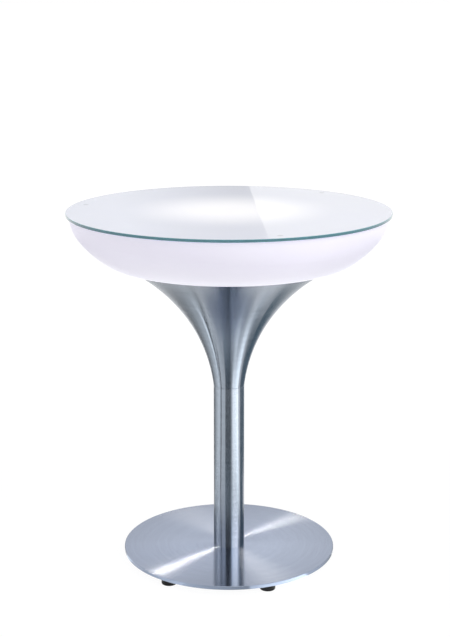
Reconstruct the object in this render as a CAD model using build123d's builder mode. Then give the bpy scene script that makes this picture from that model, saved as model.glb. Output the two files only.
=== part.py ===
from build123d import *
from math import cos, radians, sin
import os

# Light up table on a column: millimetres, +Z up, origin on the floor under the column's axis.
# The front of the table faces -Y. Angles in the tables of places run from the front towards +X.

# Overall sizes
table_height = 750.0
glass_diameter = 665.0
glass_thickness = 6.0
glass_edge_chamfer = 0.8
glass_overhang = 6.5
base_diameter = 450.0
base_thickness = 8.0
base_edge_chamfer = 0.7
base_skin = 1.5
column_diameter = 65.0
column_wall = 2.0
seam_chamfer = 0.5
foot_height = 14.0

# Clear bumpers between the glass and the bowl
bumper_thickness = 2.0
bumper_radius = 6.0
bumper_inset = 21.0
bumper_first_angle = 18.0
bumper_count = 3

# Light bowl: the outside runs over a shoulder knee and an upper knee to the rim
bowl_depth = 102.0
bowl_wall = 4.0
bowl_floor_radius = 222.0
bowl_ledge_width = 38.0
bowl_rim_fillet = 1.6
shoulder_radius_share = 0.370
shoulder_height_share = 0.115
upper_radius_share = 0.828
upper_height_share = 0.544

# Trumpet: the outside runs over one knee from the neck to the mouth
trumpet_height = 262.5
trumpet_wall = 1.5
trumpet_neck_flare = 6.8
trumpet_mouth_inset = 3.5
mouth_flange_width = 38.5
knee_radius_share = 0.383
knee_height_share = 0.640

# Column plugs and tie rod
plug_length = 18.0
plug_fit = 0.05
neck_boss_radius = 22.0
neck_boss_proud = 2.0
base_boss_radius = 15.0
base_boss_recess = 0.5
rod_diameter = 10.0
rod_clearance = 0.25
rod_end_proud = 3.0
rod_nut_width = 17.0
rod_nut_height = 8.0
rod_washer_radius = 10.0
rod_washer_thickness = 2.0

# Mounting pan under the bowl and its bolts
pan_wall = 3.0
pan_recess_depth = 22.5
pan_recess_radius = 46.0
pan_recess_run = 25.0
pan_edge = 8.0
bolt_diameter = 6.0
bolt_clearance = 0.3
bolt_edge = 10.0
bolt_count = 6
bolt_first_angle = 30.0
bolt_head_radius = 5.25
bolt_head_height = 3.3
bolt_head_fillet = 1.1
bolt_socket_width = 4.0
bolt_socket_depth = 2.0
bolt_end_proud = 1.0
bolt_washer_radius = 9.0
bolt_washer_thickness = 1.6
bolt_nut_width = 10.0
bolt_nut_height = 5.0

# Levelling feet
foot_count = 6
foot_circle_inset = 22.0
foot_first_angle = -37.2
foot_pad_radius = 16.0
foot_pad_fillet = 2.5
foot_pad_chamfer = 0.6
foot_collar_height = 3.0
foot_collar_width = 13.0
foot_thread_radius = 4.0
foot_thread_fit = 0.06
foot_thread_end_gap = 0.5
foot_thread_chamfer = 0.6
foot_shank_radius = 3.0
foot_shank_fit = 0.06
foot_swivel_floor = 4.0
foot_swivel_height = 2.0
foot_swivel_radius = 5.0
foot_swivel_clearance = 0.3

# Lamp unit that stands in the bowl
lamp_radius = 75.0
lamp_wall = 2.5
lamp_housing_height = 40.0
lamp_housing_fillet = 3.0
lamp_panel_depth = 5.0
lamp_foot_height = 3.0
lamp_foot_radius = 6.0
lamp_foot_inset = 20.0
lamp_foot_count = 4
lamp_foot_first_angle = 45.0
dome_wall = 2.0
dome_skirt_height = 6.0
dome_rise = 20.0
dome_shoulder_fillet = 5.0
dome_lip_height = 3.0
dome_lip_clearance = 0.3

# Ring that keeps the lamp unit in the middle of the bowl
ring_clearance = 0.8
ring_wall = 3.0
ring_height = 10.0
ring_flange_width = 12.0
ring_flange_thickness = 2.0
ring_screw_count = 3
ring_screw_radius = 2.0
ring_screw_head_radius = 3.6
ring_screw_head_height = 2.2
ring_screw_head_fillet = 0.7
ring_screw_depth_share = 0.8

# Light plate, board and chips
plate_thickness = 2.0
plate_edge_clearance = 0.5
post_radius = 4.0
post_inset = 7.0
post_angles = (60.0, 180.0, 300.0)
plate_screw_radius = 1.5
plate_screw_head_radius = 2.8
plate_screw_head_height = 2.0
plate_screw_depth = 8.0
board_thickness = 1.6
light_board_edge = 5.0
chip_width = 5.0
chip_height = 1.6
chip_ring_shares = (0.26, 0.56, 0.86)
inner_chip_count = 4

# Battery: the cells are as large as the lamp unit allows
cell_diameter_share = 0.2453
cell_length_share = 0.8667
cell_gap = 1.0
cell_count = 4
tray_floor = 2.0
tray_wall = 1.5
tray_side_share = 0.55
tray_post_gap = 2.5
contact_thickness = 0.8
contact_width_share = 0.6
contact_space = 3.5
contact_button_radius = 3.0

# Control board with its socket, switch and push button
control_board_width_share = 0.8533
control_board_edge_gap = 3.5
control_board_tray_gap = 0.5
standoff_height = 12.0
standoff_radius = 3.2
standoff_inset = 4.0
board_screw_radius = 1.25
board_screw_head_radius = 2.4
board_screw_head_height = 1.6
board_screw_depth = 6.0
socket_width = 8.9
socket_height = 3.2
socket_depth = 9.0
socket_wall = 0.35
socket_tongue_thickness = 0.7
socket_tongue_width_share = 0.74
socket_bore_share = 0.7
socket_tongue_length_share = 0.5
socket_slot_gap = 0.4
socket_offset = 14.0
button_radius = 4.0
button_clearance = 0.3
button_proud = 2.0
button_edge_chamfer = 0.5
button_collar_radius = 5.2
button_collar_thickness = 1.5
button_collar_gap = 0.4
button_travel = 1.0
button_offset = 14.0
switch_width = 6.0
switch_depth = 3.6
switch_plunger_radius = 1.7
switch_plunger_length = 1.4
switch_end_gap = 0.15
processor_width = 12.0
processor_height = 1.8
coil_radius = 5.0
coil_height = 5.0
coil_inset = 9.0
receiver_width = 7.0
receiver_height = 7.5
receiver_depth = 4.0

# One overrun serves every cut
overrun = 5.0

# Heights of the stack, from the floor up
base_bottom = foot_height
base_top = base_bottom + base_thickness
glass_bottom = table_height - glass_thickness
bowl_top = glass_bottom - bumper_thickness
bowl_bottom = bowl_top - bowl_depth
bowl_floor_top = bowl_bottom + bowl_wall
column_top = bowl_bottom - trumpet_height
flange_bottom = bowl_bottom - trumpet_wall
pan_bottom = flange_bottom - pan_wall
pan_seat = flange_bottom - pan_recess_depth
base_radius = base_diameter / 2
column_radius = column_diameter / 2
column_bore_radius = column_radius - column_wall
rod_radius = rod_diameter / 2
bolt_radius = bolt_diameter / 2

# Radii of the bowl and the trumpet
bowl_rim_radius = glass_diameter / 2 - glass_overhang
bowl_flare = bowl_rim_radius - bowl_floor_radius
mouth_radius = bowl_floor_radius - trumpet_mouth_inset
mouth_flange_radius = mouth_radius - mouth_flange_width
trumpet_flare = mouth_radius - column_radius
bolt_circle = mouth_flange_radius + bolt_edge
pan_radius = bolt_circle + pan_edge


def place(radius, angle):
    """Return the point at a radius and at an angle from the front towards +X."""
    return (radius * sin(radians(angle)), -radius * cos(radians(angle)))


def places_round(radius, first_angle, count):
    """Return evenly spaced points on a circle, the first at first_angle."""
    return [place(radius, first_angle + turn * 360 / count) for turn in range(count)]


def inward_point(arc, position, wall):
    """Return the point one wall inside an arc's outline, square to it."""
    heading = arc % position
    return arc @ position + Vector(-heading.Y, heading.X) * wall


def wall_band(outline, heading, wall):
    """Draw the closed band between a run of tangent arcs and its inside face."""
    arcs = []
    for start, end in zip(outline, outline[1:]):
        arc = TangentArc(start, end, tangent=heading)
        heading = arc % 1
        arcs.append(arc)
    inner_start = inward_point(arcs[0], 0, wall)
    Line(arcs[0] @ 0, inner_start)
    for arc in arcs:
        inner_end = inward_point(arc, 1, wall)
        TangentArc(inner_start, inner_end, tangent=arc % 0)
        inner_start = inner_end
    Line(inner_start, arcs[-1] @ 1)


def ring_profile(inner_radius, outer_radius, bottom, top, mode=Mode.ADD):
    """Draw the section of a flat ring in a sketch on the XZ plane."""
    with Locations((inner_radius, bottom)):
        Rectangle(outer_radius - inner_radius, top - bottom, align=(Align.MIN, Align.MIN), mode=mode)


os.makedirs("parts", exist_ok=True)

# Base plate: a steel disc with a centring hole and blind threaded holes for the feet
foot_circle = base_radius - foot_circle_inset
foot_places = places_round(foot_circle, foot_first_angle, foot_count)
foot_hole_radius = foot_thread_radius + foot_thread_fit
foot_hole_depth = base_thickness - base_skin
with BuildPart() as base_plate:
    with BuildSketch(Plane.XY.offset(base_bottom)):
        Circle(base_radius)
    extrude(amount=base_thickness)
    chamfer(base_plate.edges().filter_by(GeomType.CIRCLE), base_edge_chamfer)
    with BuildSketch(Plane.XY.offset(base_bottom)):
        Circle(base_boss_radius + plug_fit)
    extrude(amount=base_thickness + overrun, mode=Mode.SUBTRACT)
    with BuildSketch(Plane.XY.offset(base_bottom)):
        with Locations(*foot_places):
            Circle(foot_hole_radius)
    extrude(amount=foot_hole_depth, mode=Mode.SUBTRACT)
base_plate.part.label = "base_plate"
export_step(base_plate.part, "parts/base_plate.step")

# Column tube: eased at the top, where the seam with the trumpet shows
with BuildPart() as column_tube:
    with BuildSketch(Plane.XY.offset(base_top)):
        Circle(column_radius)
        Circle(column_bore_radius, mode=Mode.SUBTRACT)
    extrude(amount=column_top - base_top)
    chamfer(column_tube.edges().group_by(Axis.Z)[-1].sort_by(SortBy.RADIUS)[-1], seam_chamfer)
column_tube.part.label = "column_tube"
export_step(column_tube.part, "parts/column_tube.step")

# Turned plug in the foot of the column: its boss centres the column in the base plate
with BuildPart() as column_foot_plug:
    with BuildSketch(Plane.XZ):
        ring_profile(0, column_bore_radius - plug_fit, base_top, base_top + plug_length)
        ring_profile(0, base_boss_radius, base_bottom + base_boss_recess, base_top)
        ring_profile(0, rod_radius + rod_clearance, base_bottom, base_top + plug_length,
                     mode=Mode.SUBTRACT)
    revolve(axis=Axis.Z)
column_foot_plug.part.label = "column_foot_plug"
export_step(column_foot_plug.part, "parts/column_foot_plug.step")

# Turned plug in the head of the column: its boss centres the trumpet on the column
neck_boss_top = column_top + trumpet_wall + neck_boss_proud
with BuildPart() as column_head_plug:
    with BuildSketch(Plane.XZ):
        ring_profile(0, column_bore_radius - plug_fit, column_top - plug_length, column_top)
        ring_profile(0, neck_boss_radius, column_top, neck_boss_top)
        ring_profile(0, rod_radius + rod_clearance, column_top - plug_length, neck_boss_top,
                     mode=Mode.SUBTRACT)
    revolve(axis=Axis.Z)
column_head_plug.part.label = "column_head_plug"
export_step(column_head_plug.part, "parts/column_head_plug.step")

# Trumpet: a spun steel cone with an in-turned flange at the neck and at the mouth
neck_point = (column_radius, column_top)
knee_point = (column_radius + knee_radius_share * trumpet_flare,
              column_top + knee_height_share * trumpet_height)
mouth_point = (mouth_radius, bowl_bottom)
neck_heading = (sin(radians(trumpet_neck_flare)), cos(radians(trumpet_neck_flare)))
flange_lap = 2 * trumpet_wall
with BuildPart() as trumpet_cone:
    with BuildSketch(Plane.XZ):
        with BuildLine():
            wall_band([neck_point, knee_point, mouth_point], neck_heading, trumpet_wall)
        make_face()
        ring_profile(neck_boss_radius + plug_fit, column_radius, column_top,
                     column_top + trumpet_wall)
        ring_profile(mouth_flange_radius, mouth_radius - flange_lap, flange_bottom, bowl_bottom)
        ring_profile(mouth_flange_radius, mouth_radius + overrun, bowl_bottom,
                     bowl_bottom + overrun, mode=Mode.SUBTRACT)
    revolve(axis=Axis.Z)
    chamfer(trumpet_cone.edges().group_by(Axis.Z)[0].sort_by(SortBy.RADIUS)[-1], seam_chamfer)
    with BuildSketch(Plane.XY.offset(flange_bottom)):
        with Locations(*places_round(bolt_circle, bolt_first_angle, bolt_count)):
            Circle(bolt_radius + bolt_clearance)
    extrude(amount=trumpet_wall + overrun, mode=Mode.SUBTRACT)
trumpet_cone.part.label = "trumpet_cone"
export_step(trumpet_cone.part, "parts/trumpet_cone.step")

# Mounting pan: a pressed dish under the mouth flange, drawn down by the tie rod
recess_top_radius = pan_recess_radius + pan_recess_run
with BuildPart() as mount_pan:
    with BuildSketch(Plane.XZ):
        with BuildLine():
            Polyline((rod_radius + rod_clearance, pan_seat - pan_wall),
                     (pan_recess_radius + pan_wall, pan_seat - pan_wall),
                     (recess_top_radius + pan_wall, pan_bottom),
                     (pan_radius, pan_bottom),
                     (pan_radius, flange_bottom),
                     (recess_top_radius, flange_bottom),
                     (pan_recess_radius, pan_seat),
                     (rod_radius + rod_clearance, pan_seat),
                     close=True)
        make_face()
    revolve(axis=Axis.Z)
    with BuildSketch(Plane.XY.offset(pan_bottom)):
        with Locations(*places_round(bolt_circle, bolt_first_angle, bolt_count)):
            Circle(bolt_radius + bolt_clearance)
    extrude(amount=pan_wall + overrun, mode=Mode.SUBTRACT)
mount_pan.part.label = "mount_pan"
export_step(mount_pan.part, "parts/mount_pan.step")

# Tie rod through the column, with a washer and a nut at each end
lower_nut_top = base_bottom - rod_washer_thickness
lower_nut_bottom = lower_nut_top - rod_nut_height
upper_nut_bottom = pan_seat + rod_washer_thickness
upper_nut_top = upper_nut_bottom + rod_nut_height
with BuildPart() as tie_rod:
    with BuildSketch(Plane.XY.offset(lower_nut_bottom)):
        Circle(rod_radius)
    extrude(amount=upper_nut_top + rod_end_proud - lower_nut_bottom)
tie_rod.part.label = "tie_rod"
export_step(tie_rod.part, "parts/tie_rod.step")

with BuildPart() as rod_washers:
    for washer_bottom in (lower_nut_top, pan_seat):
        with BuildSketch(Plane.XY.offset(washer_bottom)):
            Circle(rod_washer_radius)
            Circle(rod_radius + rod_clearance, mode=Mode.SUBTRACT)
        extrude(amount=rod_washer_thickness)
rod_washers.part.label = "rod_washers"
export_step(rod_washers.part, "parts/rod_washers.step")

with BuildPart() as rod_nuts:
    for nut_bottom in (lower_nut_bottom, upper_nut_bottom):
        with BuildSketch(Plane.XY.offset(nut_bottom)):
            RegularPolygon(rod_nut_width / 2, 6, major_radius=False)
            Circle(rod_radius, mode=Mode.SUBTRACT)
        extrude(amount=rod_nut_height)
rod_nuts.part.label = "rod_nuts"
export_step(rod_nuts.part, "parts/rod_nuts.step")

# Light bowl: a moulded shell with a flat floor and an in-turned ledge for the glass
floor_point = (bowl_floor_radius, bowl_bottom)
shoulder_point = (bowl_floor_radius + shoulder_radius_share * bowl_flare,
                  bowl_bottom + shoulder_height_share * bowl_depth)
upper_point = (bowl_floor_radius + upper_radius_share * bowl_flare,
               bowl_bottom + upper_height_share * bowl_depth)
rim_point = (bowl_rim_radius, bowl_top)
ledge_radius = bowl_rim_radius - bowl_ledge_width
with BuildPart() as bowl_shell:
    with BuildSketch(Plane.XZ):
        with BuildLine():
            wall_band([floor_point, shoulder_point, upper_point, rim_point], (1, 0), bowl_wall)
        make_face()
        ring_profile(0, bowl_floor_radius, bowl_bottom, bowl_floor_top)
        ring_profile(ledge_radius, bowl_rim_radius - bowl_wall / 2, bowl_top - bowl_wall, bowl_top)
        ring_profile(ledge_radius, bowl_rim_radius + overrun, bowl_top, bowl_top + overrun,
                     mode=Mode.SUBTRACT)
    revolve(axis=Axis.Z)
    fillet(bowl_shell.edges().group_by(Axis.Z)[-1].sort_by(SortBy.RADIUS)[-1], bowl_rim_fillet)
    with BuildSketch(Plane.XY.offset(bowl_bottom)):
        with Locations(*places_round(bolt_circle, bolt_first_angle, bolt_count)):
            Circle(bolt_radius + bolt_clearance)
    extrude(amount=bowl_wall + overrun, mode=Mode.SUBTRACT)
    ring_screw_circle = lamp_radius + ring_clearance + ring_flange_width / 2 + ring_wall / 2
    with BuildSketch(Plane.XY.offset(bowl_floor_top)):
        with Locations(*places_round(ring_screw_circle, bolt_first_angle, ring_screw_count)):
            Circle(ring_screw_radius)
    extrude(amount=-ring_screw_depth_share * bowl_wall, mode=Mode.SUBTRACT)
bowl_shell.part.label = "bowl_shell"
export_step(bowl_shell.part, "parts/bowl_shell.step")

# Bolts, washers and nuts that clamp the bowl, the trumpet's flange and the pan
bolt_places = places_round(bolt_circle, bolt_first_angle, bolt_count)
bolt_seat = bowl_floor_top + bolt_washer_thickness
bolt_nut_bottom = pan_bottom - bolt_nut_height
with BuildPart() as bowl_bolts:
    with BuildSketch(Plane.XY.offset(bolt_nut_bottom - bolt_end_proud)):
        with Locations(*bolt_places):
            Circle(bolt_radius)
    extrude(amount=bolt_seat - bolt_nut_bottom + bolt_end_proud)
    with BuildSketch(Plane.XY.offset(bolt_seat)):
        with Locations(*bolt_places):
            Circle(bolt_head_radius)
    extrude(amount=bolt_head_height)
    bolt_head_edges = bowl_bolts.edges().group_by(Axis.Z)[-1]
    fillet(bolt_head_edges, bolt_head_fillet)
    with BuildSketch(Plane.XY.offset(bolt_seat + bolt_head_height)):
        with Locations(*bolt_places):
            RegularPolygon(bolt_socket_width / 2, 6, major_radius=False)
    extrude(amount=-bolt_socket_depth, mode=Mode.SUBTRACT)
bowl_bolts.part.label = "bowl_bolts"
export_step(bowl_bolts.part, "parts/bowl_bolts.step")

with BuildPart() as bowl_washers:
    with BuildSketch(Plane.XY.offset(bowl_floor_top)):
        with Locations(*bolt_places):
            Circle(bolt_washer_radius)
            Circle(bolt_radius + bolt_clearance, mode=Mode.SUBTRACT)
    extrude(amount=bolt_washer_thickness)
bowl_washers.part.label = "bowl_washers"
export_step(bowl_washers.part, "parts/bowl_washers.step")

with BuildPart() as bowl_nuts:
    with BuildSketch(Plane.XY.offset(bolt_nut_bottom)):
        with Locations(*bolt_places):
            RegularPolygon(bolt_nut_width / 2, 6, major_radius=False)
            Circle(bolt_radius, mode=Mode.SUBTRACT)
    extrude(amount=bolt_nut_height)
bowl_nuts.part.label = "bowl_nuts"
export_step(bowl_nuts.part, "parts/bowl_nuts.step")

# Clear bumpers and the glass that lies on them
bumper_circle = bowl_rim_radius - bumper_inset
with BuildPart() as glass_bumpers:
    with BuildSketch(Plane.XY.offset(bowl_top)):
        with Locations(*places_round(bumper_circle, bumper_first_angle, bumper_count)):
            Circle(bumper_radius)
    extrude(amount=bumper_thickness)
glass_bumpers.part.label = "glass_bumpers"
export_step(glass_bumpers.part, "parts/glass_bumpers.step")

with BuildPart() as glass_top:
    with BuildSketch(Plane.XY.offset(glass_bottom)):
        Circle(glass_diameter / 2)
    extrude(amount=glass_thickness)
    chamfer(glass_top.edges().filter_by(GeomType.CIRCLE), glass_edge_chamfer)
glass_top.part.label = "glass_top"
export_step(glass_top.part, "parts/glass_top.step")

# Levelling feet: each has a moulded pad and a threaded stud that swivels in it
foot_pad_height = foot_height - foot_collar_height
swivel_top = foot_swivel_floor + foot_swivel_height
for number, foot_place in enumerate(foot_places, start=1):
    with BuildPart() as foot_pad:
        with BuildSketch(Plane.XY):
            with Locations(foot_place):
                Circle(foot_pad_radius)
        extrude(amount=foot_pad_height)
        fillet(foot_pad.edges().group_by(Axis.Z)[0], foot_pad_fillet)
        chamfer(foot_pad.edges().group_by(Axis.Z)[-1], foot_pad_chamfer)
        with BuildSketch(Plane.XY.offset(foot_swivel_floor)):
            with Locations(foot_place):
                Circle(foot_swivel_radius + foot_swivel_clearance)
        extrude(amount=foot_swivel_height + foot_swivel_clearance, mode=Mode.SUBTRACT)
        with BuildSketch(Plane.XY.offset(swivel_top)):
            with Locations(foot_place):
                Circle(foot_shank_radius + foot_shank_fit)
        extrude(amount=foot_pad_height - swivel_top + overrun, mode=Mode.SUBTRACT)
    foot_pad.part.label = f"foot_pad_{number}"
    export_step(foot_pad.part, f"parts/foot_pad_{number}.step")

    with BuildPart() as foot_stud:
        with BuildSketch(Plane.XY.offset(foot_swivel_floor)):
            with Locations(foot_place):
                Circle(foot_swivel_radius)
        extrude(amount=foot_swivel_height)
        with BuildSketch(Plane.XY.offset(swivel_top)):
            with Locations(foot_place):
                Circle(foot_shank_radius)
        extrude(amount=foot_pad_height - swivel_top)
        with BuildSketch(Plane.XY.offset(base_bottom)):
            with Locations(foot_place):
                Circle(foot_thread_radius)
        extrude(amount=foot_hole_depth - foot_thread_end_gap)
        chamfer(foot_stud.edges().group_by(Axis.Z)[-1], foot_thread_chamfer)
        with BuildSketch(Plane.XY.offset(foot_pad_height)):
            with Locations(foot_place):
                RegularPolygon(foot_collar_width / 2, 6, major_radius=False)
        extrude(amount=foot_collar_height)
    foot_stud.part.label = f"foot_stud_{number}"
    export_step(foot_stud.part, f"parts/foot_stud_{number}.step")

# Ring screwed to the bowl's floor: the lamp unit stands inside it
ring_inner_radius = lamp_radius + ring_clearance
with BuildPart() as lamp_ring:
    with BuildSketch(Plane.XZ):
        ring_profile(ring_inner_radius, ring_inner_radius + ring_wall,
                     bowl_floor_top, bowl_floor_top + ring_height)
        ring_profile(ring_inner_radius, ring_inner_radius + ring_wall + ring_flange_width,
                     bowl_floor_top, bowl_floor_top + ring_flange_thickness)
    revolve(axis=Axis.Z)
    with BuildSketch(Plane.XY.offset(bowl_floor_top)):
        with Locations(*places_round(ring_screw_circle, bolt_first_angle, ring_screw_count)):
            Circle(ring_screw_radius)
    extrude(amount=ring_flange_thickness, mode=Mode.SUBTRACT)
lamp_ring.part.label = "lamp_ring"
export_step(lamp_ring.part, "parts/lamp_ring.step")

with BuildPart() as ring_screws:
    with BuildSketch(Plane.XY.offset(bowl_floor_top + ring_flange_thickness)):
        with Locations(*places_round(ring_screw_circle, bolt_first_angle, ring_screw_count)):
            Circle(ring_screw_radius)
    extrude(amount=-ring_flange_thickness - ring_screw_depth_share * bowl_wall)
    with BuildSketch(Plane.XY.offset(bowl_floor_top + ring_flange_thickness)):
        with Locations(*places_round(ring_screw_circle, bolt_first_angle, ring_screw_count)):
            Circle(ring_screw_head_radius)
    extrude(amount=ring_screw_head_height)
    fillet(ring_screws.edges().group_by(Axis.Z)[-1], ring_screw_head_fillet)
ring_screws.part.label = "ring_screws"
export_step(ring_screws.part, "parts/ring_screws.step")

# Lamp housing: a moulded tub with a flat panel at the front, posts and standoffs
housing_bottom = bowl_floor_top + lamp_foot_height
housing_top = housing_bottom + lamp_housing_height
housing_floor_top = housing_bottom + lamp_wall
lamp_bore_radius = lamp_radius - lamp_wall
panel_face = -(lamp_radius - lamp_panel_depth)
panel_back = panel_face + lamp_wall
plate_bottom = housing_top - plate_thickness
plate_radius = lamp_bore_radius - lamp_panel_depth - plate_edge_clearance
post_circle = plate_radius - post_inset
post_places = [place(post_circle, angle) for angle in post_angles]
cell_diameter = cell_diameter_share * lamp_radius
cell_length = cell_length_share * lamp_radius
tray_length = cell_length + 2 * contact_space + 2 * tray_wall
tray_back = post_circle - post_radius - tray_post_gap
tray_middle = tray_back - tray_length / 2
control_board_bottom = housing_floor_top + standoff_height
control_board_top = control_board_bottom + board_thickness
control_board_front = panel_back + control_board_edge_gap
control_board_back = tray_back - tray_length - control_board_tray_gap
control_board_middle = (control_board_front + control_board_back) / 2
control_board_width = control_board_width_share * lamp_radius
control_board_depth = control_board_back - control_board_front
standoff_spread_x = control_board_width - 2 * standoff_inset
standoff_spread_y = control_board_depth - 2 * standoff_inset
button_height = control_board_top + button_collar_radius + button_collar_gap
socket_middle = control_board_top + socket_height / 2
with BuildPart() as lamp_housing:
    with BuildSketch(Plane.XY.offset(housing_bottom)):
        Circle(lamp_radius)
        with Locations((0, panel_face)):
            Rectangle(2 * lamp_radius, 2 * lamp_panel_depth, align=(Align.CENTER, Align.MAX),
                      mode=Mode.SUBTRACT)
    extrude(amount=lamp_housing_height)
    fillet(lamp_housing.edges().group_by(Axis.Z)[0], lamp_housing_fillet)
    with BuildSketch(Plane.XY.offset(housing_floor_top)):
        Circle(lamp_bore_radius)
        with Locations((0, panel_back)):
            Rectangle(2 * lamp_radius, 2 * lamp_panel_depth, align=(Align.CENTER, Align.MAX),
                      mode=Mode.SUBTRACT)
    extrude(amount=lamp_housing_height, mode=Mode.SUBTRACT)
    with BuildSketch(Plane.XY.offset(housing_floor_top)):
        with Locations(*post_places):
            Circle(post_radius)
    extrude(amount=plate_bottom - housing_floor_top)
    with BuildSketch(Plane.XY.offset(plate_bottom)):
        with Locations(*post_places):
            Circle(plate_screw_radius)
    extrude(amount=-plate_screw_depth, mode=Mode.SUBTRACT)
    with BuildSketch(Plane.XY.offset(housing_floor_top)):
        with Locations((0, control_board_middle)):
            with GridLocations(standoff_spread_x, standoff_spread_y, 2, 2):
                Circle(standoff_radius)
    extrude(amount=standoff_height)
    with BuildSketch(Plane.XY.offset(control_board_bottom)):
        with Locations((0, control_board_middle)):
            with GridLocations(standoff_spread_x, standoff_spread_y, 2, 2):
                Circle(board_screw_radius)
    extrude(amount=-board_screw_depth, mode=Mode.SUBTRACT)
    with BuildSketch(Plane.XZ.offset(-panel_back)):
        with Locations((-button_offset, button_height)):
            Circle(button_radius + button_clearance)
        with Locations((socket_offset, socket_middle)):
            Rectangle(socket_width + 2 * socket_slot_gap, socket_height + 2 * socket_slot_gap)
    extrude(amount=lamp_wall + overrun, mode=Mode.SUBTRACT)
lamp_housing.part.label = "lamp_housing"
export_step(lamp_housing.part, "parts/lamp_housing.step")

with BuildPart() as lamp_feet:
    with BuildSketch(Plane.XY.offset(bowl_floor_top)):
        with Locations(*places_round(lamp_radius - lamp_foot_inset, lamp_foot_first_angle,
                                     lamp_foot_count)):
            Circle(lamp_foot_radius)
    extrude(amount=lamp_foot_height)
lamp_feet.part.label = "lamp_feet"
export_step(lamp_feet.part, "parts/lamp_feet.step")

# Aluminium light plate on the posts, with its screws, the round board and the light chips
with BuildPart() as light_plate:
    with BuildSketch(Plane.XY.offset(plate_bottom)):
        Circle(plate_radius)
        with Locations(*post_places):
            Circle(plate_screw_radius, mode=Mode.SUBTRACT)
    extrude(amount=plate_thickness)
light_plate.part.label = "light_plate"
export_step(light_plate.part, "parts/light_plate.step")

with BuildPart() as plate_screws:
    with BuildSketch(Plane.XY.offset(housing_top)):
        with Locations(*post_places):
            Circle(plate_screw_radius)
    extrude(amount=-plate_thickness - plate_screw_depth)
    with BuildSketch(Plane.XY.offset(housing_top)):
        with Locations(*post_places):
            Circle(plate_screw_head_radius)
    extrude(amount=plate_screw_head_height)
plate_screws.part.label = "plate_screws"
export_step(plate_screws.part, "parts/plate_screws.step")

light_board_radius = post_circle - light_board_edge
light_board_top = housing_top + board_thickness
with BuildPart() as light_board:
    with BuildSketch(Plane.XY.offset(housing_top)):
        Circle(light_board_radius)
    extrude(amount=board_thickness)
light_board.part.label = "light_board"
export_step(light_board.part, "parts/light_board.step")

with BuildPart() as light_chips:
    with BuildSketch(Plane.XY.offset(light_board_top)):
        for ring_number, ring_share in enumerate(chip_ring_shares, start=1):
            with PolarLocations(ring_share * light_board_radius, ring_number * inner_chip_count):
                Rectangle(chip_width, chip_width)
    extrude(amount=chip_height)
light_chips.part.label = "light_chips"
export_step(light_chips.part, "parts/light_chips.step")

# Opal dome over the chips: its lip drops into the housing
dome_shoulder = housing_top + dome_skirt_height
dome_top = dome_shoulder + dome_rise
dome_inner_radius = lamp_radius - dome_wall
lip_outer_radius = lamp_bore_radius - dome_lip_clearance
with BuildPart() as diffuser_dome:
    with BuildSketch(Plane.XZ):
        with BuildLine():
            Line((lamp_radius, housing_top), (lamp_radius, dome_shoulder))
            TangentArc((0, dome_top), (lamp_radius, dome_shoulder), tangent=(1, 0))
            Line((0, dome_top), (0, dome_top - dome_wall))
            dome_inside = TangentArc((0, dome_top - dome_wall), (dome_inner_radius, dome_shoulder),
                                     tangent=(1, 0))
            Polyline(dome_inside @ 1, (dome_inner_radius - dome_wall, housing_top),
                     (lamp_radius, housing_top))
        make_face()
        ring_profile(lip_outer_radius - dome_wall, lip_outer_radius,
                     housing_top - dome_lip_height, housing_top + dome_wall / 2)
    revolve(axis=Axis.Z)
    fillet(diffuser_dome.edges().filter_by(GeomType.CIRCLE).filter_by_position(
        Axis.Z, dome_shoulder, dome_shoulder).sort_by(SortBy.RADIUS)[-1], dome_shoulder_fillet)
    with BuildSketch(Plane.XY.offset(housing_top)):
        with Locations((0, panel_back + dome_lip_clearance)):
            Rectangle(2 * lamp_radius, 2 * lamp_panel_depth, align=(Align.CENTER, Align.MAX))
    extrude(amount=-dome_lip_height - overrun, mode=Mode.SUBTRACT)
diffuser_dome.part.label = "diffuser_dome"
export_step(diffuser_dome.part, "parts/diffuser_dome.step")

# Battery tray with its cells and contacts
cell_pitch = cell_diameter + cell_gap
cell_axis_height = housing_floor_top + tray_floor + cell_diameter / 2
tray_width = cell_count * cell_pitch + 2 * tray_wall
tray_side_height = tray_floor + tray_side_share * cell_diameter
with BuildPart() as battery_tray:
    with BuildSketch(Plane.XY.offset(housing_floor_top)):
        with Locations((0, tray_middle)):
            Rectangle(tray_width, tray_length)
    extrude(amount=tray_side_height)
    with BuildSketch(Plane.XY.offset(housing_floor_top + tray_floor)):
        with Locations((0, tray_middle)):
            Rectangle(tray_width - 2 * tray_wall, tray_length - 2 * tray_wall)
    extrude(amount=tray_side_height, mode=Mode.SUBTRACT)
battery_tray.part.label = "battery_tray"
export_step(battery_tray.part, "parts/battery_tray.step")

with BuildPart() as battery_cells:
    with BuildSketch(Plane.XZ.offset(-tray_middle)):
        with Locations((0, cell_axis_height)):
            with GridLocations(cell_pitch, cell_diameter, cell_count, 1):
                Circle(cell_diameter / 2)
    extrude(amount=cell_length / 2, both=True)
battery_cells.part.label = "battery_cells"
export_step(battery_cells.part, "parts/battery_cells.step")

contact_height = contact_width_share * cell_diameter
contact_reach = contact_space - contact_thickness
with BuildPart() as battery_contacts:
    for side in (-1, 1):
        plate_back = tray_middle + side * (cell_length / 2 + contact_space)
        with BuildSketch(Plane.XZ.offset(-plate_back)):
            with Locations((0, housing_floor_top + tray_floor)):
                with GridLocations(cell_pitch, cell_diameter, cell_count, 1):
                    Rectangle(contact_height, contact_height, align=(Align.CENTER, Align.MIN))
        extrude(amount=side * contact_thickness)
        with BuildSketch(Plane.XZ.offset(-plate_back + side * contact_thickness)):
            with Locations((0, cell_axis_height)):
                with GridLocations(cell_pitch, cell_diameter, cell_count, 1):
                    Circle(contact_button_radius)
        extrude(amount=side * contact_reach)
battery_contacts.part.label = "battery_contacts"
export_step(battery_contacts.part, "parts/battery_contacts.step")

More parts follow.
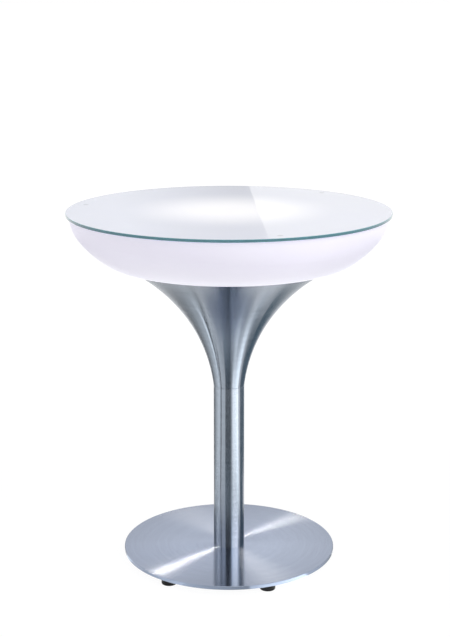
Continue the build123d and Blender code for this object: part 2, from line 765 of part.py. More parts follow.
# Control board with its screws, parts, charge socket and switch
with BuildPart() as control_board:
    with BuildSketch(Plane.XY.offset(control_board_bottom)):
        with Locations((0, control_board_middle)):
            Rectangle(control_board_width, control_board_depth)
            with GridLocations(standoff_spread_x, standoff_spread_y, 2, 2):
                Circle(board_screw_radius, mode=Mode.SUBTRACT)
    extrude(amount=board_thickness)
control_board.part.label = "control_board"
export_step(control_board.part, "parts/control_board.step")

with BuildPart() as board_screws:
    with BuildSketch(Plane.XY.offset(control_board_top)):
        with Locations((0, control_board_middle)):
            with GridLocations(standoff_spread_x, standoff_spread_y, 2, 2):
                Circle(board_screw_radius)
    extrude(amount=-board_thickness - board_screw_depth)
    with BuildSketch(Plane.XY.offset(control_board_top)):
        with Locations((0, control_board_middle)):
            with GridLocations(standoff_spread_x, standoff_spread_y, 2, 2):
                Circle(board_screw_head_radius)
    extrude(amount=board_screw_head_height)
board_screws.part.label = "board_screws"
export_step(board_screws.part, "parts/board_screws.step")

# Parts on the control board: a processor, two choke coils and the remote receiver
with BuildPart() as board_parts:
    with BuildSketch(Plane.XY.offset(control_board_top)):
        with Locations((0, control_board_middle)):
            Rectangle(processor_width, processor_width)
    extrude(amount=processor_height)
    with BuildSketch(Plane.XY.offset(control_board_top)):
        with Locations((0, control_board_back - coil_inset)):
            with GridLocations(control_board_width / 2, processor_width, 2, 1):
                Circle(coil_radius)
    extrude(amount=coil_height)
    with BuildSketch(Plane.XY.offset(control_board_top)):
        with Locations((0, control_board_front + receiver_depth / 2)):
            Rectangle(receiver_width, receiver_depth)
    extrude(amount=receiver_height)
board_parts.part.label = "board_parts"
export_step(board_parts.part, "parts/board_parts.step")

# Charge socket: a pressed shell round a flat tongue, flush with the front panel
with BuildPart() as charge_socket:
    with BuildSketch(Plane.XZ.offset(-panel_face)):
        with Locations((socket_offset, socket_middle)):
            Rectangle(socket_width, socket_height)
    extrude(amount=-socket_depth)
    with BuildSketch(Plane.XZ.offset(-panel_face)):
        with Locations((socket_offset, socket_middle)):
            Rectangle(socket_width - 2 * socket_wall, socket_height - 2 * socket_wall)
    extrude(amount=-socket_bore_share * socket_depth, mode=Mode.SUBTRACT)
    with BuildSketch(Plane.XZ.offset(-panel_face - socket_bore_share * socket_depth)):
        with Locations((socket_offset, socket_middle)):
            Rectangle(socket_tongue_width_share * socket_width, socket_tongue_thickness)
    extrude(amount=socket_tongue_length_share * socket_depth)
charge_socket.part.label = "charge_socket"
export_step(charge_socket.part, "parts/charge_socket.step")

# Push button in the front panel, and the switch that it presses
collar_back = panel_back + button_collar_thickness
plunger_front = collar_back + button_travel + switch_end_gap
switch_front = plunger_front + switch_plunger_length
with BuildPart() as power_button:
    with BuildSketch(Plane.XZ.offset(-panel_back)):
        with Locations((-button_offset, button_height)):
            Circle(button_radius)
    extrude(amount=lamp_wall + button_proud)
    chamfer(power_button.edges().group_by(Axis.Y)[0], button_edge_chamfer)
    with BuildSketch(Plane.XZ.offset(-collar_back)):
        with Locations((-button_offset, button_height)):
            Circle(button_collar_radius)
    extrude(amount=button_collar_thickness)
power_button.part.label = "power_button"
export_step(power_button.part, "parts/power_button.step")

with BuildPart() as push_switch:
    with BuildSketch(Plane.XZ.offset(-switch_front)):
        with Locations((-button_offset, control_board_top)):
            Rectangle(switch_width, 2 * (button_height - control_board_top),
                      align=(Align.CENTER, Align.MIN))
    extrude(amount=-switch_depth)
    with BuildSketch(Plane.XZ.offset(-switch_front)):
        with Locations((-button_offset, button_height)):
            Circle(switch_plunger_radius)
    extrude(amount=switch_plunger_length)
push_switch.part.label = "push_switch"
export_step(push_switch.part, "parts/push_switch.step")
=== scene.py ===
"""Looks of the light up table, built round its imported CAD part. Metres, +Z up, front towards -Y."""

import logging
from dataclasses import dataclass
from enum import Enum
from functools import reduce
from math import cos, pi, radians, sin
from typing import ClassVar, Sequence, Union

import bmesh
import bpy
from bmesh.types import BMesh
from bpy.types import ID, Material, NodeSocket, NodeTree, Object
from mathutils import Matrix, Vector


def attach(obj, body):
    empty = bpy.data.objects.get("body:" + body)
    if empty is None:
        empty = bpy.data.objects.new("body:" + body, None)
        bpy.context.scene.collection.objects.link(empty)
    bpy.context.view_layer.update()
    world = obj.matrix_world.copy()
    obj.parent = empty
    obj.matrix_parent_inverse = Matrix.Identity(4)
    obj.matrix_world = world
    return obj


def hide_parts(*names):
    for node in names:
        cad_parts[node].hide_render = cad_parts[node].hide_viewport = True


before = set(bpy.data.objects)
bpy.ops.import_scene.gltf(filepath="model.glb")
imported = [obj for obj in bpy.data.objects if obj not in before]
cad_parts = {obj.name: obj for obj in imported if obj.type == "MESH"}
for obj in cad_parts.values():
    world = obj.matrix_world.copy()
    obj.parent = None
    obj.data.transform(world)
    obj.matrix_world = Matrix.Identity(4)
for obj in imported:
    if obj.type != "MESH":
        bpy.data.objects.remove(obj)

LOG = logging.getLogger("table")
Colour = tuple[float, float, float, float]
Point = tuple[float, float, float]
Value = Union["Signal", float, tuple]
Values = dict[str, Value]
Span = tuple[float, float]

# A ray that has been turned less often than this shows a thing at first hand
FIRST_HAND = 1.5
# Faces that meet at a sharper angle than this, in degrees, keep a hard edge
SMOOTH_ANGLE = 32.0
# The part of a noise over which one tone gives way to the other
MIDTONES: Span = (0.3, 0.7)


def rgb(red: float, green: float, blue: float) -> Colour:
    """Return an opaque linear colour."""
    return (red, green, blue, 1.0)


def round_axis(radius: float, azimuth: float, height: float = 0.0) -> Vector:
    """Return the point at a radius and at an azimuth, in degrees from the front towards +X."""
    return Vector((radius * sin(radians(azimuth)), -radius * cos(radians(azimuth)), height))


def tinted(colour: Colour, *scales: float) -> Colour:
    """Return a colour with its parts scaled, by one number or by three, and none above 1."""
    return rgb(*(min(1.0, part * scale) for part, scale in zip(colour[:3], scales * 3)))


class Signal:
    """A value that comes out of a shader node. Arithmetic on it adds Math nodes."""

    def __init__(self, board: "NodeBoard", socket: NodeSocket) -> None:
        """Hold an output socket and the board that its node is on."""
        self.board = board
        self.socket = socket

    def math(self, operation: str, first: Value, second: Value = 0.0) -> "Signal":
        """Add a Math node.

        Args:
            operation: The Math node's operation.
            first: Its first value or link.
            second: Its second value or link.

        Returns:
            The node's result.
        """
        return self.board.node("ShaderNodeMath", {"operation": operation}, {0: first, 1: second})

    def __add__(self, other: Value) -> "Signal":
        """Return self + other."""
        return self.math("ADD", self, other)

    def __radd__(self, other: Value) -> "Signal":
        """Return other + self."""
        return self.math("ADD", other, self)

    def __sub__(self, other: Value) -> "Signal":
        """Return self - other."""
        return self.math("SUBTRACT", self, other)

    def __rsub__(self, other: Value) -> "Signal":
        """Return other - self."""
        return self.math("SUBTRACT", other, self)

    def __mul__(self, other: Value) -> "Signal":
        """Return self * other."""
        return self.math("MULTIPLY", self, other)

    def __rmul__(self, other: Value) -> "Signal":
        """Return other * self."""
        return self.math("MULTIPLY", other, self)

    def __truediv__(self, other: Value) -> "Signal":
        """Return self / other."""
        return self.math("DIVIDE", self, other)

    def __rtruediv__(self, other: Value) -> "Signal":
        """Return other / self."""
        return self.math("DIVIDE", other, self)

    def __gt__(self, other: Value) -> "Signal":
        """Return 1 where self is above other, and 0 elsewhere."""
        return self.math("GREATER_THAN", self, other)

    def __lt__(self, other: Value) -> "Signal":
        """Return 1 where self is below other, and 0 elsewhere."""
        return self.math("LESS_THAN", self, other)

    def __abs__(self) -> "Signal":
        """Return the size of self without its sign."""
        return self.math("ABSOLUTE", self)

    def highest(self, other: Value) -> "Signal":
        """Return the larger of self and other."""
        return self.math("MAXIMUM", self, other)

    def line(self, low: float, high: float, first: float, last: float) -> "Signal":
        """Return a straight change from first at low to last at high, and no further."""
        ends = {1: low, 2: high, 3: first, 4: last}
        return self.board.node("ShaderNodeMapRange", None, {0: self, **ends})

    def wander(self, width: float) -> "Signal":
        """Return a noise as a change about zero, of the given width."""
        return (self - 0.5) * width

    def ramp(self, low: float, high: float) -> "Signal":
        """Change smoothly from 0 to 1, and no further.

        Args:
            low: Where the result is 0, which may be above high.
            high: Where the result is 1.

        Returns:
            The share from 0 to 1.
        """
        settings = {"interpolation_type": "SMOOTHSTEP"}
        ends = {1: min(low, high), 2: max(low, high), 3: float(low > high), 4: float(low <= high)}
        return self.board.node("ShaderNodeMapRange", settings, {0: self, **ends})


class NodeBoard:
    """A node tree that shader nodes are added to."""

    def __init__(self, tree: NodeTree) -> None:
        """Clear a node tree and hold it."""
        self.tree = tree
        tree.nodes.clear()

    def node(self, kind: str, settings: dict | None = None, inputs: dict | None = None,
             output: int | str = 0) -> Signal:
        """Add a node.

        Args:
            kind: The node's type.
            settings: Its properties, which are set first.
            inputs: Values or links of its sockets, by name or number.
            output: The name or number of the output that is wanted.

        Returns:
            That output.
        """
        made = self.tree.nodes.new(kind)
        for name, value in (settings or {}).items():
            setattr(made, name, value)
        for name, value in (inputs or {}).items():
            if isinstance(value, Signal):
                self.tree.links.new(value.socket, made.inputs[name])
            else:
                made.inputs[name].default_value = value
        return Signal(self, made.outputs[output])

    def end(self, shader: Signal, kind: str = "ShaderNodeOutputMaterial") -> None:
        """Link a shader to the tree's output node."""
        out = self.tree.nodes.new(kind)
        self.tree.links.new(shader.socket, out.inputs["Surface"])

    def place(self) -> tuple[Signal, Signal, Signal]:
        """Read where the surface point is on the object.

        Returns:
            Its x, y and z in metres.
        """
        coordinates = self.node("ShaderNodeTexCoord", output="Object")
        split = self.node("ShaderNodeSeparateXYZ", None, {0: coordinates})
        return tuple(Signal(self, output) for output in split.socket.node.outputs)

    def vector(self, x: Value, y: Value, z: Value) -> Signal:
        """Join three values to a vector."""
        return self.node("ShaderNodeCombineXYZ", None, {0: x, 1: y, 2: z})

    def reach(self, x: Value, y: Value, z: Value = 0.0) -> Signal:
        """Return how far away a point is: from the axis, or from the origin where z is given."""
        return self.node("ShaderNodeVectorMath", {"operation": "LENGTH"},
                         {0: self.vector(x, y, z)}, output="Value")

    def azimuth(self, x: Signal, y: Signal) -> Signal:
        """Return the azimuth of a point in radians, from the front towards +X."""
        return x.math("ARCTAN2", x, y * -1.0)

    def upward(self) -> Signal:
        """Return 1 where the surface faces up, and 0 elsewhere."""
        normal = self.node("ShaderNodeTexCoord", output="Normal")
        return self.node("ShaderNodeSeparateXYZ", None, {0: normal}, output="Z") > 0.0

    def noise(self, vector: Signal, scale: float, detail: float = 3.0) -> Signal:
        """Return a cloudy noise from 0 to 1."""
        return self.node("ShaderNodeTexNoise", None,
                         {"Vector": vector, "Scale": scale, "Detail": detail})

    def blend(self, share: Value, first: Value, second: Value, kind: str = "MIX") -> Signal:
        """Mix two colours by a share of the second."""
        settings = {"data_type": "RGBA", "blend_type": kind}
        return self.node("ShaderNodeMix", settings, {0: share, 6: first, 7: second}, output=2)

    def bump(self, height: Signal, strength: float, depth: float) -> Signal:
        """Turn a height into a shading normal; depth is in metres."""
        return self.node("ShaderNodeBump", None,
                         {"Height": height, "Strength": strength, "Distance": depth})

    def bounces(self) -> Signal:
        """Return how often the light of a ray has been turned on its way to the eye."""
        return self.node("ShaderNodeLightPath", output="Ray Depth")

    def seen(self) -> Signal:
        """Tell the rays that see a thing from those that are lit by it.

        Returns:
            1 for camera, mirror and glass rays, and 0 for light that falls on things.
        """
        camera, glossy, through = (self.node("ShaderNodeLightPath", output=kind) for kind in
                                   ("Is Camera Ray", "Is Glossy Ray", "Is Transmission Ray"))
        return camera.highest(glossy).highest(through)


def new_board(name: str) -> tuple[Material, NodeBoard]:
    """Add a material and return it with its cleared board."""
    material = bpy.data.materials.new(name)
    material.use_nodes = True
    return material, NodeBoard(material.node_tree)


def in_scene(name: str, data: ID) -> Object:
    """Put an object with the given data in the scene and return it."""
    made = bpy.data.objects.new(name, data)
    bpy.context.scene.collection.objects.link(made)
    return made


def new_object(name: str, mesh: BMesh, material: Material) -> Object:
    """Turn a bmesh into an object.

    Args:
        name: The name of the object and of its mesh.
        mesh: The bmesh, which is freed.
        material: The object's material.

    Returns:
        The new object.
    """
    data = bpy.data.meshes.new(name)
    mesh.to_mesh(data)
    mesh.free()
    data.materials.append(material)
    return in_scene(name, data)


class Zone(Enum):
    """A zone of the studio that a card covers: its two edges, each as reach and height."""

    RIM = ((0.19, 0.004), (0.3, 0.005))
    NEAR = ((0.3, 0.005), (0.5, 0.005))
    FAR = ((0.5, 0.005), (1.8, 0.005))
    WALL = ((1.8, 0.01), (0.52, 0.74))


class Grain(Enum):
    """The way that a tool has run over a metal piece."""

    TURNED = "round the axis"
    DRAWN = "along x"
    TUMBLED = "no direction"


@dataclass(frozen=True)
class Finish:
    """A surface finish: its fixed shader values, and a pattern for the others.

    DEPTH is a relief's depth in metres, and DULLING the roughness that a haze adds.
    """

    FIXED: ClassVar[Values] = {}
    DEPTH: ClassVar[float] = 0.0001
    DULLING: ClassVar[float] = 0.1
    name: str
    colour: Colour
    roughness: float = 0.4

    def fixed(self) -> Values:
        """Return the shader values that are the same all over the surface."""
        return self.FIXED

    def pattern(self, board: NodeBoard) -> Values:
        """Return the shader values that vary over the surface."""
        raise NotImplementedError

    def make(self) -> Material:
        """Build the material.

        Returns:
            The material with its node tree.
        """
        material, board = new_board(self.name)
        values = {"Base Color": self.colour, "Roughness": self.roughness,
                  **self.fixed(), **self.pattern(board)}
        board.end(board.node("ShaderNodeBsdfPrincipled", None, values))
        return material


@dataclass(frozen=True)
class Metal(Finish):
    """Bare or plated metal with the marks of its tool."""

    DEPTH = 0.00005
    grain: Grain = Grain.TUMBLED
    lines: float = 900.0
    contrast: float = 0.12
    stretch: float = 0.0
    relief: float = 0.05
    wander: float = 0.12
    # Painted shade: the next two set how much darker the colour is made at the disc's rim, and where.
    painted_rim_shade: float = 1.0
    painted_rim_shade_zone: Span = (0.1, 0.225)
    grain_turn: float = 0.25
    lap: float = 5.0
    pull: Span = (30.0, 6.0)
    cloud_scale: float = 60.0
    coarse_share: float = 0.12
    fine_share: float = 0.6

    def fixed(self) -> Values:
        """Return the metal's fixed values, with the gloss drawn out across the tool's lines."""
        return {"Metallic": 1.0, "Anisotropic": self.stretch,
                "Anisotropic Rotation": self.grain_turn}

    def pattern(self, board: NodeBoard) -> Values:
        """Return colour, roughness and relief that follow the tool's lines, and a painted shade
        towards the rim.

        Args:
            board: The material's board.

        Returns:
            The values by socket.
        """
        x, y, z = board.place()
        coarse = self.lines * self.coarse_share
        if self.grain is Grain.TURNED:
            reach = board.reach(x, y)
            across = z + reach
            fine_at = board.vector(x / reach * self.lap, y / reach * self.lap, across * self.lines)
            broad_at = board.vector(x / reach, y / reach, across * coarse)
        elif self.grain is Grain.DRAWN:
            fine_at = board.vector(x * self.pull[0], y * self.lines, z * self.lines)
            broad_at = board.vector(x * self.pull[1], y * coarse, z * coarse)
        else:
            fine_at = board.vector(*(axis * self.lines for axis in (x, y, z)))
            broad_at = board.vector(*(axis * self.cloud_scale for axis in (x, y, z)))
        fine = board.noise(fine_at, scale=1.0, detail=2.0)
        broad = board.noise(broad_at, scale=1.0)
        mark = fine * self.fine_share + broad * (1.0 - self.fine_share)
        low = tinted(self.colour, 1.0 - self.contrast)
        high = tinted(self.colour, 1.0 + self.contrast)
        colour = board.blend(mark.ramp(*MIDTONES), low, high)
        # Painted shade: the colour is made darker towards the disc's rim.
        if self.painted_rim_shade < 1.0:
            rim = rgb(self.painted_rim_shade, self.painted_rim_shade, self.painted_rim_shade)
            outward = reach.line(*self.painted_rim_shade_zone, 0.0, 1.0)
            colour = board.blend(outward, colour, rim, "MULTIPLY")
        return {
            "Base Color": colour,
            "Roughness": self.roughness + broad.wander(self.wander),
            "Normal": board.bump(fine, self.relief, self.DEPTH),
        }


@dataclass(frozen=True)
class Moulded(Finish):
    """Moulded plastic or rubber: a fine grained skin with slight flow marks."""

    grain: float = 2500.0
    relief: float = 0.12
    tone: float = 0.05
    gloss: float = 0.5
    flow_scale: float = 26.0
    flow_zone: Span = (0.35, 0.75)
    flow_wander: float = 0.16
    skin_wander: float = 0.08
    dust: float = 0.3

    def fixed(self) -> Values:
        """Return the plastic's fixed values."""
        return {"IOR": 1.49, "Specular IOR Level": self.gloss}

    def pattern(self, board: NodeBoard) -> Values:
        """Return the skin's colour, roughness and relief.

        Args:
            board: The material's board.

        Returns:
            The values by socket.
        """
        point = board.vector(*board.place())
        skin = board.noise(point, self.grain, detail=2.0)
        flow = board.noise(point, self.flow_scale)
        worn = rgb(*(min(1.0, part * (1.0 - self.tone) + self.dust * self.tone)
                     for part in self.colour[:3]))
        return {
            "Base Color": board.blend(flow.ramp(*self.flow_zone), self.colour, worn),
            "Roughness": self.roughness + flow.wander(self.flow_wander)
                         + skin.wander(self.skin_wander),
            "Normal": board.bump(skin, self.relief, self.DEPTH),
        }


@dataclass(frozen=True)
class Painted(Finish):
    """Stove enamel on pressed steel, with the slight ripple of sprayed paint."""

    FIXED = {"IOR": 1.5, "Coat Weight": 0.3, "Coat Roughness": 0.2}
    DEPTH = 0.0002
    ripple_scale: float = 700.0
    relief: float = 0.2
    cloud_scale: float = 18.0
    shade: float = 0.86
    wander: float = 0.2

    def pattern(self, board: NodeBoard) -> Values:
        """Return the paint's tone, gloss and ripple.

        Args:
            board: The material's board.

        Returns:
            The values by socket.
        """
        point = board.vector(*board.place())
        ripple = board.noise(point, self.ripple_scale, detail=2.0)
        cloud = board.noise(point, self.cloud_scale)
        return {
            "Base Color": board.blend(cloud, self.colour, tinted(self.colour, self.shade)),
            "Roughness": self.roughness + cloud.wander(self.wander),
            "Normal": board.bump(ripple, self.relief, self.DEPTH),
        }


@dataclass(frozen=True)
class OpalShell(Finish):
    """Rotation-moulded opal bowl with a painted glow for the lamp inside it: brightest under its
    middle.
    """

    FIXED = {"IOR": 1.3, "Specular IOR Level": 0.25, "Emission Strength": 1.0}
    DEPTH = 0.0002
    # Painted light: these glows stand in for the lamp's light through the shell, with a little
    # painted shade on its underside.
    outside_glow: Colour = rgb(0.39, 0.375, 0.44)
    underside_glow: Colour = rgb(0.36, 0.345, 0.4)
    lower_glow: Colour = rgb(0.62, 0.62, 0.66)
    inside_glow: Colour = rgb(0.34, 0.34, 0.37)
    floor_reach: float = 0.2
    rim_reach: float = 0.325
    turn_heights: Span = (0.66, 0.7)
    cool_shade: Point = (0.97, 0.965, 0.99)
    cloud_scale: float = 9.0
    wander: float = 0.14
    peel_scale: float = 420.0
    peel_relief: float = 0.08

    def pattern(self, board: NodeBoard) -> Values:
        """Return the shell's tone, satin, orange peel and painted glow.

        Args:
            board: The material's board.

        Returns:
            The values by socket.
        """
        x, y, z = board.place()
        reach = board.reach(x, y)
        point = board.vector(x, y, z)
        cloud = board.noise(point, self.cloud_scale, detail=4.0)
        peel = board.noise(point, self.peel_scale, detail=2.0)
        cool = tinted(self.colour, *self.cool_shade)
        # Painted light: the shell glows, brightest under its middle, a little darker on its underside
        # and dimmer on its inside faces.
        outside = board.blend(z.ramp(*self.turn_heights), self.underside_glow, self.outside_glow)
        core = board.blend(board.upward(), self.lower_glow, self.inside_glow)
        inward = reach.ramp(self.rim_reach, self.floor_reach)
        return {
            "Base Color": board.blend(cloud.ramp(*MIDTONES), self.colour, cool),
            "Roughness": self.roughness + cloud.wander(self.wander),
            "Emission Color": board.blend(inward, outside, core),
            "Normal": board.bump(peel, self.peel_relief, self.DEPTH),
        }


@dataclass(frozen=True)
class OpalDome(Finish):
    """Opal diffuser over the light chips: brightest on top."""

    FIXED = {"IOR": 1.5, "Emission Strength": 1.0}
    crown_glow: Colour = rgb(1.5, 1.5, 1.52)
    skirt_glow: Colour = rgb(0.75, 0.75, 0.8)
    crown_zone: Span = (0.078, 0.03)
    warm_shade: Point = (1.0, 0.985, 0.96)
    cloud_scale: float = 30.0
    wander: float = 0.1
    skin_scale: float = 900.0
    skin_relief: float = 0.06

    def pattern(self, board: NodeBoard) -> Values:
        """Return the diffuser's tone, satin and light.

        Args:
            board: The material's board.

        Returns:
            The values by socket.
        """
        x, y, z = board.place()
        point = board.vector(x, y, z)
        cloud = board.noise(point, self.cloud_scale)
        skin = board.noise(point, self.skin_scale, detail=1.0)
        crown = board.reach(x, y).ramp(*self.crown_zone)
        warm = tinted(self.colour, *self.warm_shade)
        return {
            "Base Color": board.blend(cloud, self.colour, warm),
            "Roughness": self.roughness + cloud.wander(self.wander),
            "Emission Color": board.blend(crown, self.skirt_glow, self.crown_glow),
            "Normal": board.bump(skin, self.skin_relief, self.DEPTH),
        }


@dataclass(frozen=True)
class SatinGlass(Finish):
    """Float glass, satin below and polished above, with a painted lamp glow, painted bumper shadows
    and a polished green edge.
    """

    FIXED = {"IOR": 1.5, "Transmission Weight": 0.25, "Coat Roughness": 0.02,
             "Emission Strength": 1.0}
    reach: float = 0.3325
    chamfer: float = 0.0008
    bottom: float = 0.744
    thickness: float = 0.006
    # Painted light: the glass glows as if the lamp below shone through it, brightest in its middle.
    rim_glow: Colour = rgb(0.18, 0.19, 0.22)
    core_glow: Colour = rgb(0.56, 0.54, 0.5)
    bumper_circle: float = 0.305
    bumper_azimuth: float = 18.0
    bumper_count: int = 3
    # Painted shadows of the bumpers: the next four set their tone, its share, how much they dim the
    # painted glow, and their size.
    bumper_shadow_tone: Colour = rgb(0.4, 0.43, 0.47)
    bumper_shadow_share: float = 0.6
    bumper_shadow_dimming: float = 0.5
    bumper_shadow_zone: Span = (0.0066, 0.0048)
    edge: Colour = rgb(0.03, 0.16, 0.19)
    arris: Colour = rgb(0.14, 0.44, 0.46)
    edge_roughness: float = 0.12
    edge_coat_loss: float = 0.2
    slack: float = 0.00005
    glow_zone: Span = (0.23, 0.03)
    cool_shade: Point = (0.975, 0.975, 1.0)
    cloud_scale: float = 14.0
    speck_scale: float = 1500.0
    wander: float = 0.06

    def pattern(self, board: NodeBoard) -> Values:
        """Return the satin, the painted glow of the lamp, the painted bumper shadows and the green of
        the edge.

        Args:
            board: The material's board.

        Returns:
            The values by socket.
        """
        x, y, z = board.place()
        reach = board.reach(x, y)
        point = board.vector(x, y, z)
        cloud = board.noise(point, self.cloud_scale)
        speck = board.noise(point, self.speck_scale, detail=1.0)
        face = self.reach - self.chamfer
        rim = reach > face - self.slack
        middle = self.bottom + self.thickness / 2
        side = rim * (abs(z - middle) < self.thickness / 2 - self.chamfer + self.slack)
        cooler = tinted(self.colour, *self.cool_shade)
        body = board.blend(cloud.ramp(*MIDTONES), self.colour, cooler)
        # Painted shadows: the satin is darker, and its painted glow dimmer, where the bumpers sit.
        bumper_shadows = self.bumper_shadows(board, x, y)
        body = board.blend(bumper_shadows * self.bumper_shadow_share, body, self.bumper_shadow_tone)
        # Painted light: the glow that stands in for the lamp below the glass.
        glow = board.blend(reach.ramp(*self.glow_zone), self.rim_glow, self.core_glow)
        dark = (bumper_shadows * self.bumper_shadow_dimming).highest(rim)
        satin = self.roughness + speck.wander(self.wander)
        return {
            "Base Color": board.blend(side, board.blend(rim, body, self.arris), self.edge),
            "Roughness": (1.0 - rim) * satin + rim * self.edge_roughness,
            "Coat Weight": 1.0 - rim * self.edge_coat_loss,
            "Emission Color": board.blend(dark, glow, rgb(0.0, 0.0, 0.0)),
        }

    def bumper_shadows(self, board: NodeBoard, x: Signal, y: Signal) -> Signal:
        """Find where the clear bumpers sit on the glass, for their painted shadows.

        Args:
            board: The material's board.
            x: The surface point's x.
            y: The surface point's y.

        Returns:
            1 under a bumper, and 0 elsewhere.
        """
        spots = []
        for number in range(self.bumper_count):
            azimuth = self.bumper_azimuth + number * 360 / self.bumper_count
            middle = round_axis(self.bumper_circle, azimuth)
            away = board.reach(x - middle.x, y - middle.y)
            spots.append(away.ramp(*self.bumper_shadow_zone))
        return reduce(Signal.highest, spots)


@dataclass(frozen=True)
class ClearRubber(Finish):
    """Clear silicone bumper."""

    FIXED = {"IOR": 1.41, "Transmission Weight": 0.5}
    haze_tone: Colour = rgb(0.8, 0.84, 0.86)
    haze_scale: float = 300.0

    def pattern(self, board: NodeBoard) -> Values:
        """Return the bumper's haze.

        Args:
            board: The material's board.

        Returns:
            The values by socket.
        """
        haze = board.noise(board.vector(*board.place()), self.haze_scale)
        return {
            "Base Color": board.blend(haze, self.colour, self.haze_tone),
            "Roughness": self.roughness + haze * self.DULLING,
        }


@dataclass(frozen=True)
class CircuitBoard(Finish):
    """Solder mask over copper tracks."""

    DULLING = 0.08
    FIXED = {"IOR": 1.5, "Coat Weight": 0.6, "Coat Roughness": 0.1}
    track: Colour = rgb(0.1, 0.4, 0.2)
    pitch: float = 260.0
    disorder: float = 0.7
    track_edge: Span = (0.5, 0.58)
    track_relief: float = 0.3
    mask_scale: float = 900.0

    def pattern(self, board: NodeBoard) -> Values:
        """Return the tracks' colour and height under the mask.

        Args:
            board: The material's board.

        Returns:
            The values by socket.
        """
        x, y, z = board.place()
        cells = board.node("ShaderNodeTexVoronoi", {"distance": "MANHATTAN", "feature": "F1"},
                           {"Vector": board.vector(x, y, 0.0), "Scale": self.pitch,
                            "Randomness": self.disorder})
        track = cells.ramp(*self.track_edge)
        mask = board.noise(board.vector(x, y, z), self.mask_scale, detail=1.0)
        return {
            "Base Color": board.blend(track, self.colour, self.track),
            "Roughness": self.roughness + mask * self.DULLING,
            "Normal": board.bump(track, self.track_relief, self.DEPTH),
        }


@dataclass(frozen=True)
class LightChip(Finish):
    """Clear resin over yellow phosphor, in a white body."""

    FIXED = {"IOR": 1.5, "Emission Strength": 1.0, "Coat Weight": 0.8, "Coat Roughness": 0.05}
    glow: Colour = rgb(1.3, 1.2, 0.95)
    dim_glow: Colour = rgb(1.15, 1.05, 0.8)
    phosphor: Colour = rgb(0.95, 0.8, 0.35)
    grain_scale: float = 2200.0

    def pattern(self, board: NodeBoard) -> Values:
        """Return the phosphor's grain and light.

        Args:
            board: The material's board.

        Returns:
            The values by socket.
        """
        grain = board.noise(board.vector(*board.place()), self.grain_scale, detail=2.0)
        return {
            "Base Color": board.blend(grain, self.colour, self.phosphor),
            "Roughness": self.roughness + grain * self.DULLING,
            "Emission Color": board.blend(grain, self.glow, self.dim_glow),
        }


@dataclass(frozen=True)
class CellWrap(Finish):
    """Shrink sleeve on a battery cell, with bare steel at both ends."""

    FIXED = {"IOR": 1.5}
    DEPTH = 0.0002
    middle: float = 0.0
    half_sleeve: float = 0.0315
    steel: Colour = rgb(0.62, 0.63, 0.64)
    shade: float = 0.8
    crease_scales: Point = (120.0, 30.0, 120.0)
    crease_relief: float = 0.1
    wander: float = 0.12

    def pattern(self, board: NodeBoard) -> Values:
        """Return the sleeve's gloss and the bare ends.

        Args:
            board: The material's board.

        Returns:
            The values by socket.
        """
        place = board.place()
        bare = abs(place[1] - self.middle) > self.half_sleeve
        drawn = board.vector(*(axis * scale for axis, scale in zip(place, self.crease_scales)))
        crease = board.noise(drawn, scale=1.0)
        sleeve = board.blend(crease, self.colour, tinted(self.colour, self.shade))
        return {
            "Base Color": board.blend(bare, sleeve, self.steel),
            "Metallic": bare,
            "Roughness": self.roughness + crease.wander(self.wander),
            "Normal": board.bump(crease, self.crease_relief, self.DEPTH),
        }


